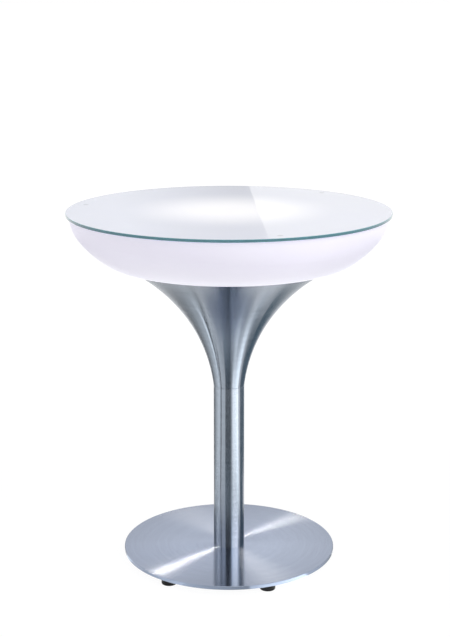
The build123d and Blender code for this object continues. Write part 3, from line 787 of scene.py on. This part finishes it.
class Finishes:
    """The table's finishes, each made once."""

    def __init__(self) -> None:
        """Make every finish."""
        self.disc = Metal("brushed_disc", rgb(0.408, 0.466, 0.595), 0.19, Grain.TURNED,
                          lines=1500.0, contrast=0.05, stretch=1.0, relief=0.03, wander=0.03,
                          painted_rim_shade=0.8).make()
        self.column = Metal("brushed_column", rgb(0.37, 0.41, 0.47), 0.22, Grain.TURNED,
                            lines=1300.0, contrast=0.07, stretch=1.0, wander=0.05).make()
        self.turned = Metal("turned_steel", rgb(0.5, 0.51, 0.53), 0.3, Grain.TURNED,
                            lines=2600.0, contrast=0.18, stretch=0.6, relief=0.1).make()
        self.zinc = Metal("bright_zinc", rgb(0.62, 0.64, 0.66), 0.28, contrast=0.1,
                          relief=0.08).make()
        self.mill = Metal("mill_aluminium", rgb(0.78, 0.79, 0.8), 0.32, Grain.DRAWN,
                          lines=1400.0, contrast=0.07, relief=0.06).make()
        self.nickel = Metal("nickel_brass", rgb(0.72, 0.68, 0.56), 0.25, Grain.DRAWN,
                            lines=1800.0, contrast=0.1).make()
        self.paint = Painted("grey_enamel", rgb(0.085, 0.09, 0.095), 0.42).make()
        self.opal = OpalShell("opal_shell", rgb(0.62, 0.61, 0.66), 0.36).make()
        self.dome = OpalDome("opal_dome", rgb(0.84, 0.84, 0.86), 0.38).make()
        self.glass = SatinGlass("satin_glass", rgb(0.63, 0.64, 0.71), 0.4).make()
        self.silicone = ClearRubber("clear_silicone", rgb(0.9, 0.93, 0.93), 0.18).make()
        self.rubber = Moulded("black_moulding", rgb(0.006, 0.006, 0.007), 0.5, grain=1800.0,
                              relief=0.2, tone=0.015, gloss=0.2).make()
        self.white = Moulded("white_moulding", rgb(0.8, 0.8, 0.81), 0.4, grain=2600.0,
                             relief=0.08, tone=0.03).make()
        self.grey = Moulded("grey_moulding", rgb(0.055, 0.058, 0.065), 0.46, grain=2200.0,
                            relief=0.15, tone=0.1).make()
        self.resin = Moulded("black_resin", rgb(0.014, 0.014, 0.015), 0.55, grain=3000.0,
                             relief=0.15).make()
        self.light_board = CircuitBoard("white_solder_mask", rgb(0.78, 0.78, 0.75), 0.3,
                                        track=rgb(0.66, 0.66, 0.62), pitch=180.0).make()
        self.green_board = CircuitBoard("green_solder_mask", rgb(0.01, 0.1, 0.035), 0.28,
                                        track=rgb(0.02, 0.19, 0.07), pitch=420.0).make()
        self.chip = LightChip("light_chip", rgb(0.95, 0.88, 0.52), 0.22).make()
        self.cell = CellWrap("cell_wrap", rgb(0.03, 0.1, 0.3), 0.3, middle=0.0128).make()


def dress(material: Material, *nodes: str) -> None:
    """Give CAD nodes a finish.

    Args:
        material: The finish.
        nodes: The names of the nodes.
    """
    for name in nodes:
        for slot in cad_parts[name].material_slots:
            slot.material = material
        LOG.info("%s: %s", name, material.name)


def new_piece(name: str, mesh: BMesh, material: Material, body: str,
              slot: str, *nodes: str) -> None:
    """Turn a bmesh into a piece that rides on a body and stands for CAD nodes.

    Args:
        name: The piece's name.
        mesh: The bmesh, which is freed.
        material: The piece's finish.
        body: The CAD body that carries it.
        slot: A material slot's name; not used.
        nodes: The CAD nodes that it stands for.
    """
    bmesh.ops.recalc_face_normals(mesh, faces=mesh.faces)
    piece = new_object(name, mesh, material)
    piece.data.shade_smooth()
    piece.data.set_sharp_from_angle(angle=radians(SMOOTH_ANGLE))
    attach(piece, body)
    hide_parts(*nodes)
    LOG.info("%s: %d faces on %s", name, len(piece.data.polygons), body)


@dataclass
class LevellingFeet:
    """Six moulded pads with threaded studs that swivel in them."""

    finishes: Finishes
    count: int = 6
    first_azimuth: float = -37.2
    circle: float = 0.203
    pitch: float = 0.00125
    crest_reach: float = 0.0040
    root_reach: float = 0.00325
    thread_bottom: float = 0.014
    thread_top: float = 0.02
    collar_bottom: float = 0.011
    collar_width: float = 0.013
    shank_reach: float = 0.003
    swivel_reach: float = 0.005
    swivel_bottom: float = 0.004
    swivel_top: float = 0.006
    collar_sides: int = 6
    shank_sides: int = 32
    swivel_sides: int = 40
    eased_edge: float = 0.0003
    shank_edge: float = 0.0001
    end_chamfer: float = 0.0006
    merge_distance: float = 0.00001
    level_slack: float = 0.000001
    flat_share: float = 0.125
    spare_turns: int = 3
    steps: int = 32

    def thread(self, mesh: BMesh) -> None:
        """Wind the thread as a screw and trim it flat at both ends.

        Args:
            mesh: The empty bmesh that it is wound in.
        """
        turns = int((self.thread_top - self.thread_bottom) / self.pitch) + self.spare_turns
        start = self.thread_bottom - self.pitch
        flat = self.pitch * self.flat_share
        section = [(self.root_reach, 0.0), (self.root_reach, flat),
                   (self.crest_reach, self.pitch / 2), (self.crest_reach, self.pitch / 2 + flat),
                   (self.root_reach, self.pitch)]
        points = [mesh.verts.new((reach, 0.0, start + rise)) for reach, rise in section]
        edges = [mesh.edges.new(pair) for pair in zip(points, points[1:])]
        bmesh.ops.spin(mesh, geom=points + edges, cent=(0, 0, 0), axis=(0, 0, 1),
                       dvec=(0, 0, self.pitch / self.steps), angle=2 * pi * turns,
                       steps=self.steps * turns, use_merge=False)
        bmesh.ops.remove_doubles(mesh, verts=mesh.verts, dist=self.merge_distance)
        for height, outward in ((self.thread_bottom, -1), (self.thread_top, 1)):
            cut = bmesh.ops.bisect_plane(mesh, geom=mesh.verts[:] + mesh.edges[:] + mesh.faces[:],
                                         plane_co=(0, 0, height), plane_no=(0, 0, outward),
                                         clear_outer=True)
            rim = [item for item in cut["geom_cut"] if isinstance(item, bmesh.types.BMEdge)]
            bmesh.ops.edgeloop_fill(mesh, edges=rim)
        for point in mesh.verts:
            room = self.crest_reach - max(0.0, point.co.z - self.thread_top + self.end_chamfer)
            reach = Vector((point.co.x, point.co.y)).length
            if reach > room:
                point.co.x, point.co.y = point.co.x * room / reach, point.co.y * room / reach

    def plain_part(self, mesh: BMesh, reach: float, bottom: float, top: float,
                   sides: int, edge: float) -> None:
        """Add a round or six-sided part with eased edges.

        Args:
            mesh: The bmesh that it is added to.
            reach: The radius of its corners.
            bottom: Its lower height.
            top: Its upper height.
            sides: The number of its sides.
            edge: The width of the bevel on its two rims.
        """
        middle = Matrix.Translation((0, 0, (bottom + top) / 2))
        made = bmesh.ops.create_cone(mesh, cap_ends=True, segments=sides, radius1=reach,
                                     radius2=reach, depth=top - bottom, matrix=middle)
        rims = [side for point in made["verts"] for side in point.link_edges
                if abs(side.verts[0].co.z - side.verts[1].co.z) < self.level_slack]
        bmesh.ops.bevel(mesh, geom=list(set(rims)), offset=edge, segments=2, profile=0.5,
                        affect="EDGES", material=-1)

    def build(self) -> None:
        """Dress the pads and build the studs in place of the plain ones."""
        for number in range(1, self.count + 1):
            dress(self.finishes.rubber, f"foot_pad_{number}")
            mesh = bmesh.new()
            self.thread(mesh)
            self.plain_part(mesh, self.collar_width / 3 ** 0.5, self.collar_bottom,
                            self.thread_bottom, self.collar_sides, self.eased_edge)
            self.plain_part(mesh, self.shank_reach, self.swivel_top, self.collar_bottom,
                            self.shank_sides, self.shank_edge)
            self.plain_part(mesh, self.swivel_reach, self.swivel_bottom, self.swivel_top,
                            self.swivel_sides, self.eased_edge)
            azimuth = self.first_azimuth + (number - 1) * 360 / self.count
            bmesh.ops.translate(mesh, verts=mesh.verts, vec=round_axis(self.circle, azimuth))
            new_piece(f"threaded_stud_{number}", mesh, self.finishes.zinc, f"stud_{number}",
                      "zinc_steel", f"foot_stud_{number}")


@dataclass
class Column:
    """Base plate, brushed column and trumpet, with the parts inside that hold them together."""

    finishes: Finishes

    def build(self) -> None:
        """Dress the column from the floor up."""
        dress(self.finishes.disc, "base_plate")
        dress(self.finishes.column, "column_tube", "trumpet_cone")
        dress(self.finishes.turned, "column_foot_plug", "column_head_plug")
        dress(self.finishes.paint, "mount_pan")
        dress(self.finishes.zinc, "tie_rod", "rod_washers", "rod_nuts")


@dataclass
class LightBowl:
    """Opal bowl with its bolts, the ring for the lamp unit and the bumpers for the glass."""

    finishes: Finishes

    def build(self) -> None:
        """Dress the bowl and what is fixed to it."""
        dress(self.finishes.opal, "bowl_shell")
        dress(self.finishes.zinc, "bowl_bolts", "bowl_washers", "bowl_nuts", "ring_screws")
        dress(self.finishes.white, "lamp_ring")
        dress(self.finishes.silicone, "glass_bumpers")


@dataclass
class GlassTop:
    """Round glass that lies loose on the bumpers."""

    finishes: Finishes

    def build(self) -> None:
        """Dress the glass."""
        dress(self.finishes.glass, "glass_top")


@dataclass
class LampUnit:
    """Lift-out lamp: tub, dome, light board, battery and control board."""

    finishes: Finishes

    def build(self) -> None:
        """Dress the lamp unit from the outside in."""
        dress(self.finishes.white, "lamp_housing")
        dress(self.finishes.dome, "diffuser_dome")
        dress(self.finishes.rubber, "lamp_feet")
        dress(self.finishes.mill, "light_plate")
        dress(self.finishes.light_board, "light_board")
        dress(self.finishes.chip, "light_chips")
        dress(self.finishes.grey, "battery_tray", "power_button")
        dress(self.finishes.cell, "battery_cells")
        dress(self.finishes.nickel, "battery_contacts")
        dress(self.finishes.green_board, "control_board")
        dress(self.finishes.resin, "board_parts", "push_switch")
        dress(self.finishes.zinc, "charge_socket", "plate_screws", "board_screws")


@dataclass
class Card:
    """A studio card that only mirror rays meet."""

    name: str
    radiance: Span
    tint: Point

    def shape(self) -> BMesh:
        """Return the card's mesh."""
        raise NotImplementedError

    def light(self, board: NodeBoard) -> Value:
        """Return the card's brightness, where 1 is white."""
        raise NotImplementedError

    def share(self, board: NodeBoard) -> Value:
        """Return how much of the card shows, where the rest is clear."""
        return 1.0

    def build(self) -> Object:
        """Build the card.

        Returns:
            The card's object.
        """
        material, board = new_board(self.name)
        lit = board.node("ShaderNodeEmission", None,
                         {"Color": rgb(*self.tint), "Strength": self.light(board)})
        clear = board.node("ShaderNodeBsdfTransparent")
        board.end(board.node("ShaderNodeMixShader", None, {0: self.share(board), 1: clear, 2: lit}))
        card = new_object(self.name, self.shape(), material)
        for ray in ("camera", "diffuse", "transmission", "shadow", "volume_scatter"):
            setattr(card, f"visible_{ray}", False)
        LOG.info("%s: card at %.2f to %.2f", self.name, *self.radiance)
        return card


@dataclass
class SectorCard(Card):
    """A strip of a cylinder or a sector of the floor, whose light changes with the azimuth."""

    azimuth: Span
    zone: Zone
    low_part: float = 0.25
    step_angle: float = 5.0
    fewest_steps: int = 2

    def shape(self) -> BMesh:
        """Sweep the zone's line round the axis.

        Returns:
            The card's mesh.
        """
        mesh = bmesh.new()
        start, end = self.azimuth
        steps = max(self.fewest_steps, int(abs(end - start) / self.step_angle))
        line = [mesh.verts.new(round_axis(reach, start, rise)) for reach, rise in self.zone.value]
        edge = mesh.edges.new(line)
        bmesh.ops.spin(mesh, geom=line + [edge], cent=(0, 0, 0), axis=(0, 0, 1), dvec=(0, 0, 0),
                       angle=radians(end - start), steps=steps, use_merge=False)
        return mesh

    def light(self, board: NodeBoard) -> Value:
        """Change the brightness evenly from one end to the other.

        Args:
            board: The material's board.

        Returns:
            The brightness, where 1 is white.
        """
        x, y, _ = board.place()
        start, end = (radians(angle) for angle in self.azimuth)
        return board.azimuth(x, y).line(start, end, *self.radiance)

    def share(self, board: NodeBoard) -> Value:
        """Keep the wall's upper part out of what a piece mirrors at first hand.

        Args:
            board: The material's board.

        Returns:
            1 where the card shows, and 0 elsewhere.
        """
        if self.zone is not Zone.WALL:
            return 1.0
        return (board.bounces() > FIRST_HAND).highest(board.place()[2] < self.low_part)


@dataclass
class FlatCard(Card):
    """A flat card between corners, whose light changes away from a point on it."""

    corners: Sequence[Point]
    heart: Point = (0.0, 0.0, 0.0)
    fade: float = 0.5
    first_only: bool = False

    def shape(self) -> BMesh:
        """Make the card's one face.

        Returns:
            The card's mesh.
        """
        mesh = bmesh.new()
        mesh.faces.new([mesh.verts.new(corner) for corner in self.corners])
        return mesh

    def light(self, board: NodeBoard) -> Value:
        """Change the brightness from the heart outwards, over the width of the fade.

        Args:
            board: The material's board.

        Returns:
            The brightness, where 1 is white.
        """
        away = board.reach(*(axis - middle for axis, middle in zip(board.place(), self.heart)))
        return away.line(0.0, self.fade, *self.radiance)

    def share(self, board: NodeBoard) -> Value:
        """Return 1, and 0 past first hand where the card is for first hand only."""
        return board.bounces() < FIRST_HAND if self.first_only else 1.0


@dataclass
class SoftBox:
    """A square soft lamp that mirrors don't show."""

    name: str
    place: Point
    aim: Point
    side: float
    watts: float

    def build(self) -> None:
        """Add the lamp and aim it."""
        data = bpy.data.lights.new(self.name, "AREA")
        data.shape = "SQUARE"
        data.size = self.side
        data.energy = self.watts
        lamp = in_scene(self.name, data)
        lamp.location = self.place
        beam = Vector(self.aim) - Vector(self.place)
        lamp.rotation_euler = beam.to_track_quat("-Z", "Y").to_euler()
        lamp.visible_glossy = False
        lamp.visible_camera = False
        LOG.info("%s: %.0f W", self.name, self.watts)


@dataclass
class Studio:
    """White studio: floor, surround, soft lamps, cards for the metal, and the camera."""

    ambient: float = 0.6
    floor_reach: float = 60.0
    floor_glow: float = 0.9
    floor_strength: float = 1.06
    floor_sides: int = 96
    floor_tones: tuple[Colour, Colour] = (rgb(0.8, 0.8, 0.8), rgb(0.79, 0.79, 0.795))
    floor_cloud: float = 3.0
    shadow_zone: Span = (0.7, 1.6)
    shade_corners: tuple[Point, ...] = ((-0.7, 2.0, 0.88), (0.025, 2.0, 0.88),
                                        (0.165, 2.0, 1.25), (-0.7, 2.0, 1.25))
    shade_heart: Point = (0.06, 2.0, 0.97)
    seam: tuple[Span, ...] = ((-0.2125, 0.16), (-0.5125, -0.18), (-0.75, 0.662))
    seam_height: float = 0.007
    lamp_tint: Point = (1.0, 0.875, 0.69)
    lens: float = 78.23
    camera_place: Point = (0.0, -2.796, 1.213)
    camera_pitch: float = 76.1
    camera_shift: float = -0.00623
    camera_range: float = 200.0

    def surround(self) -> None:
        """Make a white world that lights the table more softly than it looks."""
        world = bpy.data.worlds.new("surround")
        world.use_nodes = True
        bpy.context.scene.world = world
        board = NodeBoard(world.node_tree)
        strength = self.ambient + board.seen() * (1.0 - self.ambient)
        board.end(board.node("ShaderNodeBackground", None,
                             {"Color": rgb(1.0, 1.0, 1.0), "Strength": strength}),
                  "ShaderNodeOutputWorld")

    def floor(self) -> None:
        """Make the pale floor, with a soft shadow near the table and white further off."""
        mesh = bmesh.new()
        bmesh.ops.create_circle(mesh, cap_ends=True, segments=self.floor_sides,
                                radius=self.floor_reach)
        material, board = new_board("pale_floor")
        x, y, _ = board.place()
        reach = board.reach(x, y)
        lift = reach.ramp(*self.shadow_zone) * (1.0 - self.floor_glow)
        share = board.seen() * (self.floor_glow + lift)
        cloud = board.noise(board.vector(x, y, 0.0), self.floor_cloud)
        paper = board.node("ShaderNodeBsdfDiffuse", None, {
            "Color": board.blend(cloud, *self.floor_tones)})
        white = board.node("ShaderNodeEmission", None, {
            "Color": rgb(1.0, 1.0, 1.0), "Strength": self.floor_strength})
        board.end(board.node("ShaderNodeMixShader", None, {0: share, 1: paper, 2: white}))
        ground = new_object("floor", mesh, material)

    def cards(self) -> None:
        """Stand the cards that the brushed steel and the glass mirror.

        A sector's table gives its name, its tint, its azimuths, and by zone the brightness at both.
        """
        navy, cool, warm = (0.55, 0.8, 1.0), (0.94, 0.98, 1.0), (1.0, 0.93, 0.84)
        wall, far, near, rim = Zone.WALL, Zone.FAR, Zone.NEAR, Zone.RIM
        sectors = [
            ("left_tip", navy, (-158, -150), {wall: (0.2, 0.2)}),
            ("left_edge", cool, (-150, -112),
             {wall: (0.08, 0.65), far: (0.06, 0.7), near: (0.25, 0.8)}),
            ("left_rise", cool, (-112, -82), {far: (0.7, 1.3), near: (0.8, 1.1)}),
            ("left_peak", cool, (-82, -72),
             {far: (1.3, 1.25), near: (1.5, 1.4), rim: (1.6, 1.4)}),
            ("left_shoulder", cool, (-72, -65), {far: (1.25, 1.15)}),
            ("dark_line", navy, (-65, -57), {wall: (0.05, 0.05), far: (0.02, 0.02)}),
            ("dark_line_low", navy, (-70, -64), {near: (0.03, 0.03)}),
            ("left_front", cool, (-57, -27),
             {far: (0.95, 0.9), near: (0.9, 0.55), rim: (0.85, 1.45)}),
            ("dark_front", navy, (-27, 12),
             {wall: (0.02, 0.02), far: (0.02, 0.04), near: (0.3, 0.22)}),
            ("rising_right", cool, (12, 27),
             {wall: (0.06, 2.6), far: (0.1, 1.45), near: (0.22, 0.3)}),
            ("front_rim", cool, (-27, 12), {rim: (1.1, 0.65)}),
            ("right_rim", cool, (12, 50), {rim: (1.4, 3.2)}),
            ("bright_right", cool, (27, 73), {far: (2.15, 2.95)}),
            ("bright_right_high", warm, (27, 73), {wall: (3.2, 4.2)}),
            ("right_low", cool, (27, 50), {near: (0.3, 0.55)}),
            ("bright_right_low", cool, (50, 83), {near: (0.55, 2.6), rim: (1.2, 0.5)}),
            ("dark_right", navy, (91, 112),
             {wall: (0.2, 0.21), far: (0.2, 0.21), near: (0.2, 0.21), rim: (0.2, 0.21)}),
            ("dark_right_mid", navy, (112, 126),
             {wall: (0.21, 0.22), far: (0.21, 0.22), near: (0.21, 0.22)}),
            ("dark_right_end", navy, (126, 150), {wall: (0.22, 0.25), far: (0.22, 0.25)}),
            ("right_tip", navy, (150, 158), {wall: (0.25, 0.25)}),
        ]
        for name, tint, azimuth, zones in sectors:
            for zone, radiance in zones.items():
                SectorCard(f"{name}_{zone.name.lower()}", radiance, tint, azimuth, zone).build()
        FlatCard("glass_shade", (0.56, 0.97), (0.96, 0.97, 1.0), self.shade_corners,
                 self.shade_heart, fade=0.45).build()
        FlatCard("floor_seam", (0.02, 0.02), navy, self.strip(away=0.0, width=0.05)).build()
        FlatCard("floor_seam_light", (2.0, 2.0), cool, self.strip(away=0.05, width=0.04)).build()
        plate_only = bpy.data.collections.new("plate_only")
        plate_only.objects.link(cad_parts["base_plate"])
        self.spot("left_glint", (-1.74, 0.5, 1.72), side=0.25, radiance=20.0)
        for name, place, side, radiance in (("left_ray", (-2.3, 2.24, 3.83), 0.26, 1500.0),
                                            ("right_wedge", (0.77, 1.58, 3.03), 1.3, 8.0)):
            card = self.spot(name, place, side, radiance, first_only=True)
            card.light_linking.receiver_collection = plate_only

    def strip(self, away: float, width: float) -> list[Point]:
        """Return the corners of a strip on the floor beside the line of the dark seam.

        Args:
            away: How far outside the seam its middle lies.
            width: Its width.

        Returns:
            Its four corners.
        """
        near, far, out = (Vector(place) for place in self.seam)
        inner, outer = away - width / 2, away + width / 2
        places = (near + out * inner, far + out * inner, far + out * outer, near + out * outer)
        return [(place.x, place.y, self.seam_height) for place in places]

    def spot(self, name: str, place: Point, side: float, radiance: float,
             first_only: bool = False) -> Object:
        """Hang a bright card that faces the base plate.

        Args:
            name: The card's name.
            place: Its middle.
            side: Its width.
            radiance: Its brightness.
            first_only: Whether it shows only in what the camera sees at first hand.

        Returns:
            The card's object.
        """
        middle = Vector(place)
        turn = (-middle).to_track_quat("Z", "Y").to_matrix()
        half = side / 2
        corners = [tuple(middle + turn @ Vector((across, up, 0.0)))
                   for across, up in ((-half, -half), (half, -half), (half, half), (-half, half))]
        return FlatCard(name, (radiance, radiance), self.lamp_tint, corners,
                        first_only=first_only).build()

    def camera(self) -> None:
        """Set the camera where the photograph was taken."""
        data = bpy.data.cameras.new("camera")
        data.lens = self.lens
        data.shift_x = self.camera_shift
        data.clip_end = self.camera_range
        eye = in_scene("camera", data)
        eye.location = self.camera_place
        eye.rotation_euler = (radians(self.camera_pitch), 0.0, 0.0)
        bpy.context.scene.camera = eye

    def build(self) -> None:
        """Build the whole studio."""
        self.surround()
        self.floor()
        self.cards()
        SoftBox("key_softbox", place=(1.6, -1.6, 2.2), aim=(0.0, 0.0, 0.5), side=1.6,
                watts=31.0).build()
        self.camera()
        bpy.context.scene.view_settings.view_transform = "Standard"


def main() -> None:
    """Build the table and its studio."""
    logging.basicConfig(level=logging.INFO, format="%(name)s %(message)s")
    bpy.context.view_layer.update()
    finishes = Finishes()
    for assembly in (LevellingFeet(finishes), Column(finishes), LightBowl(finishes),
                     GlassTop(finishes), LampUnit(finishes), Studio()):
        assembly.build()


if __name__ == "__main__":
    main()
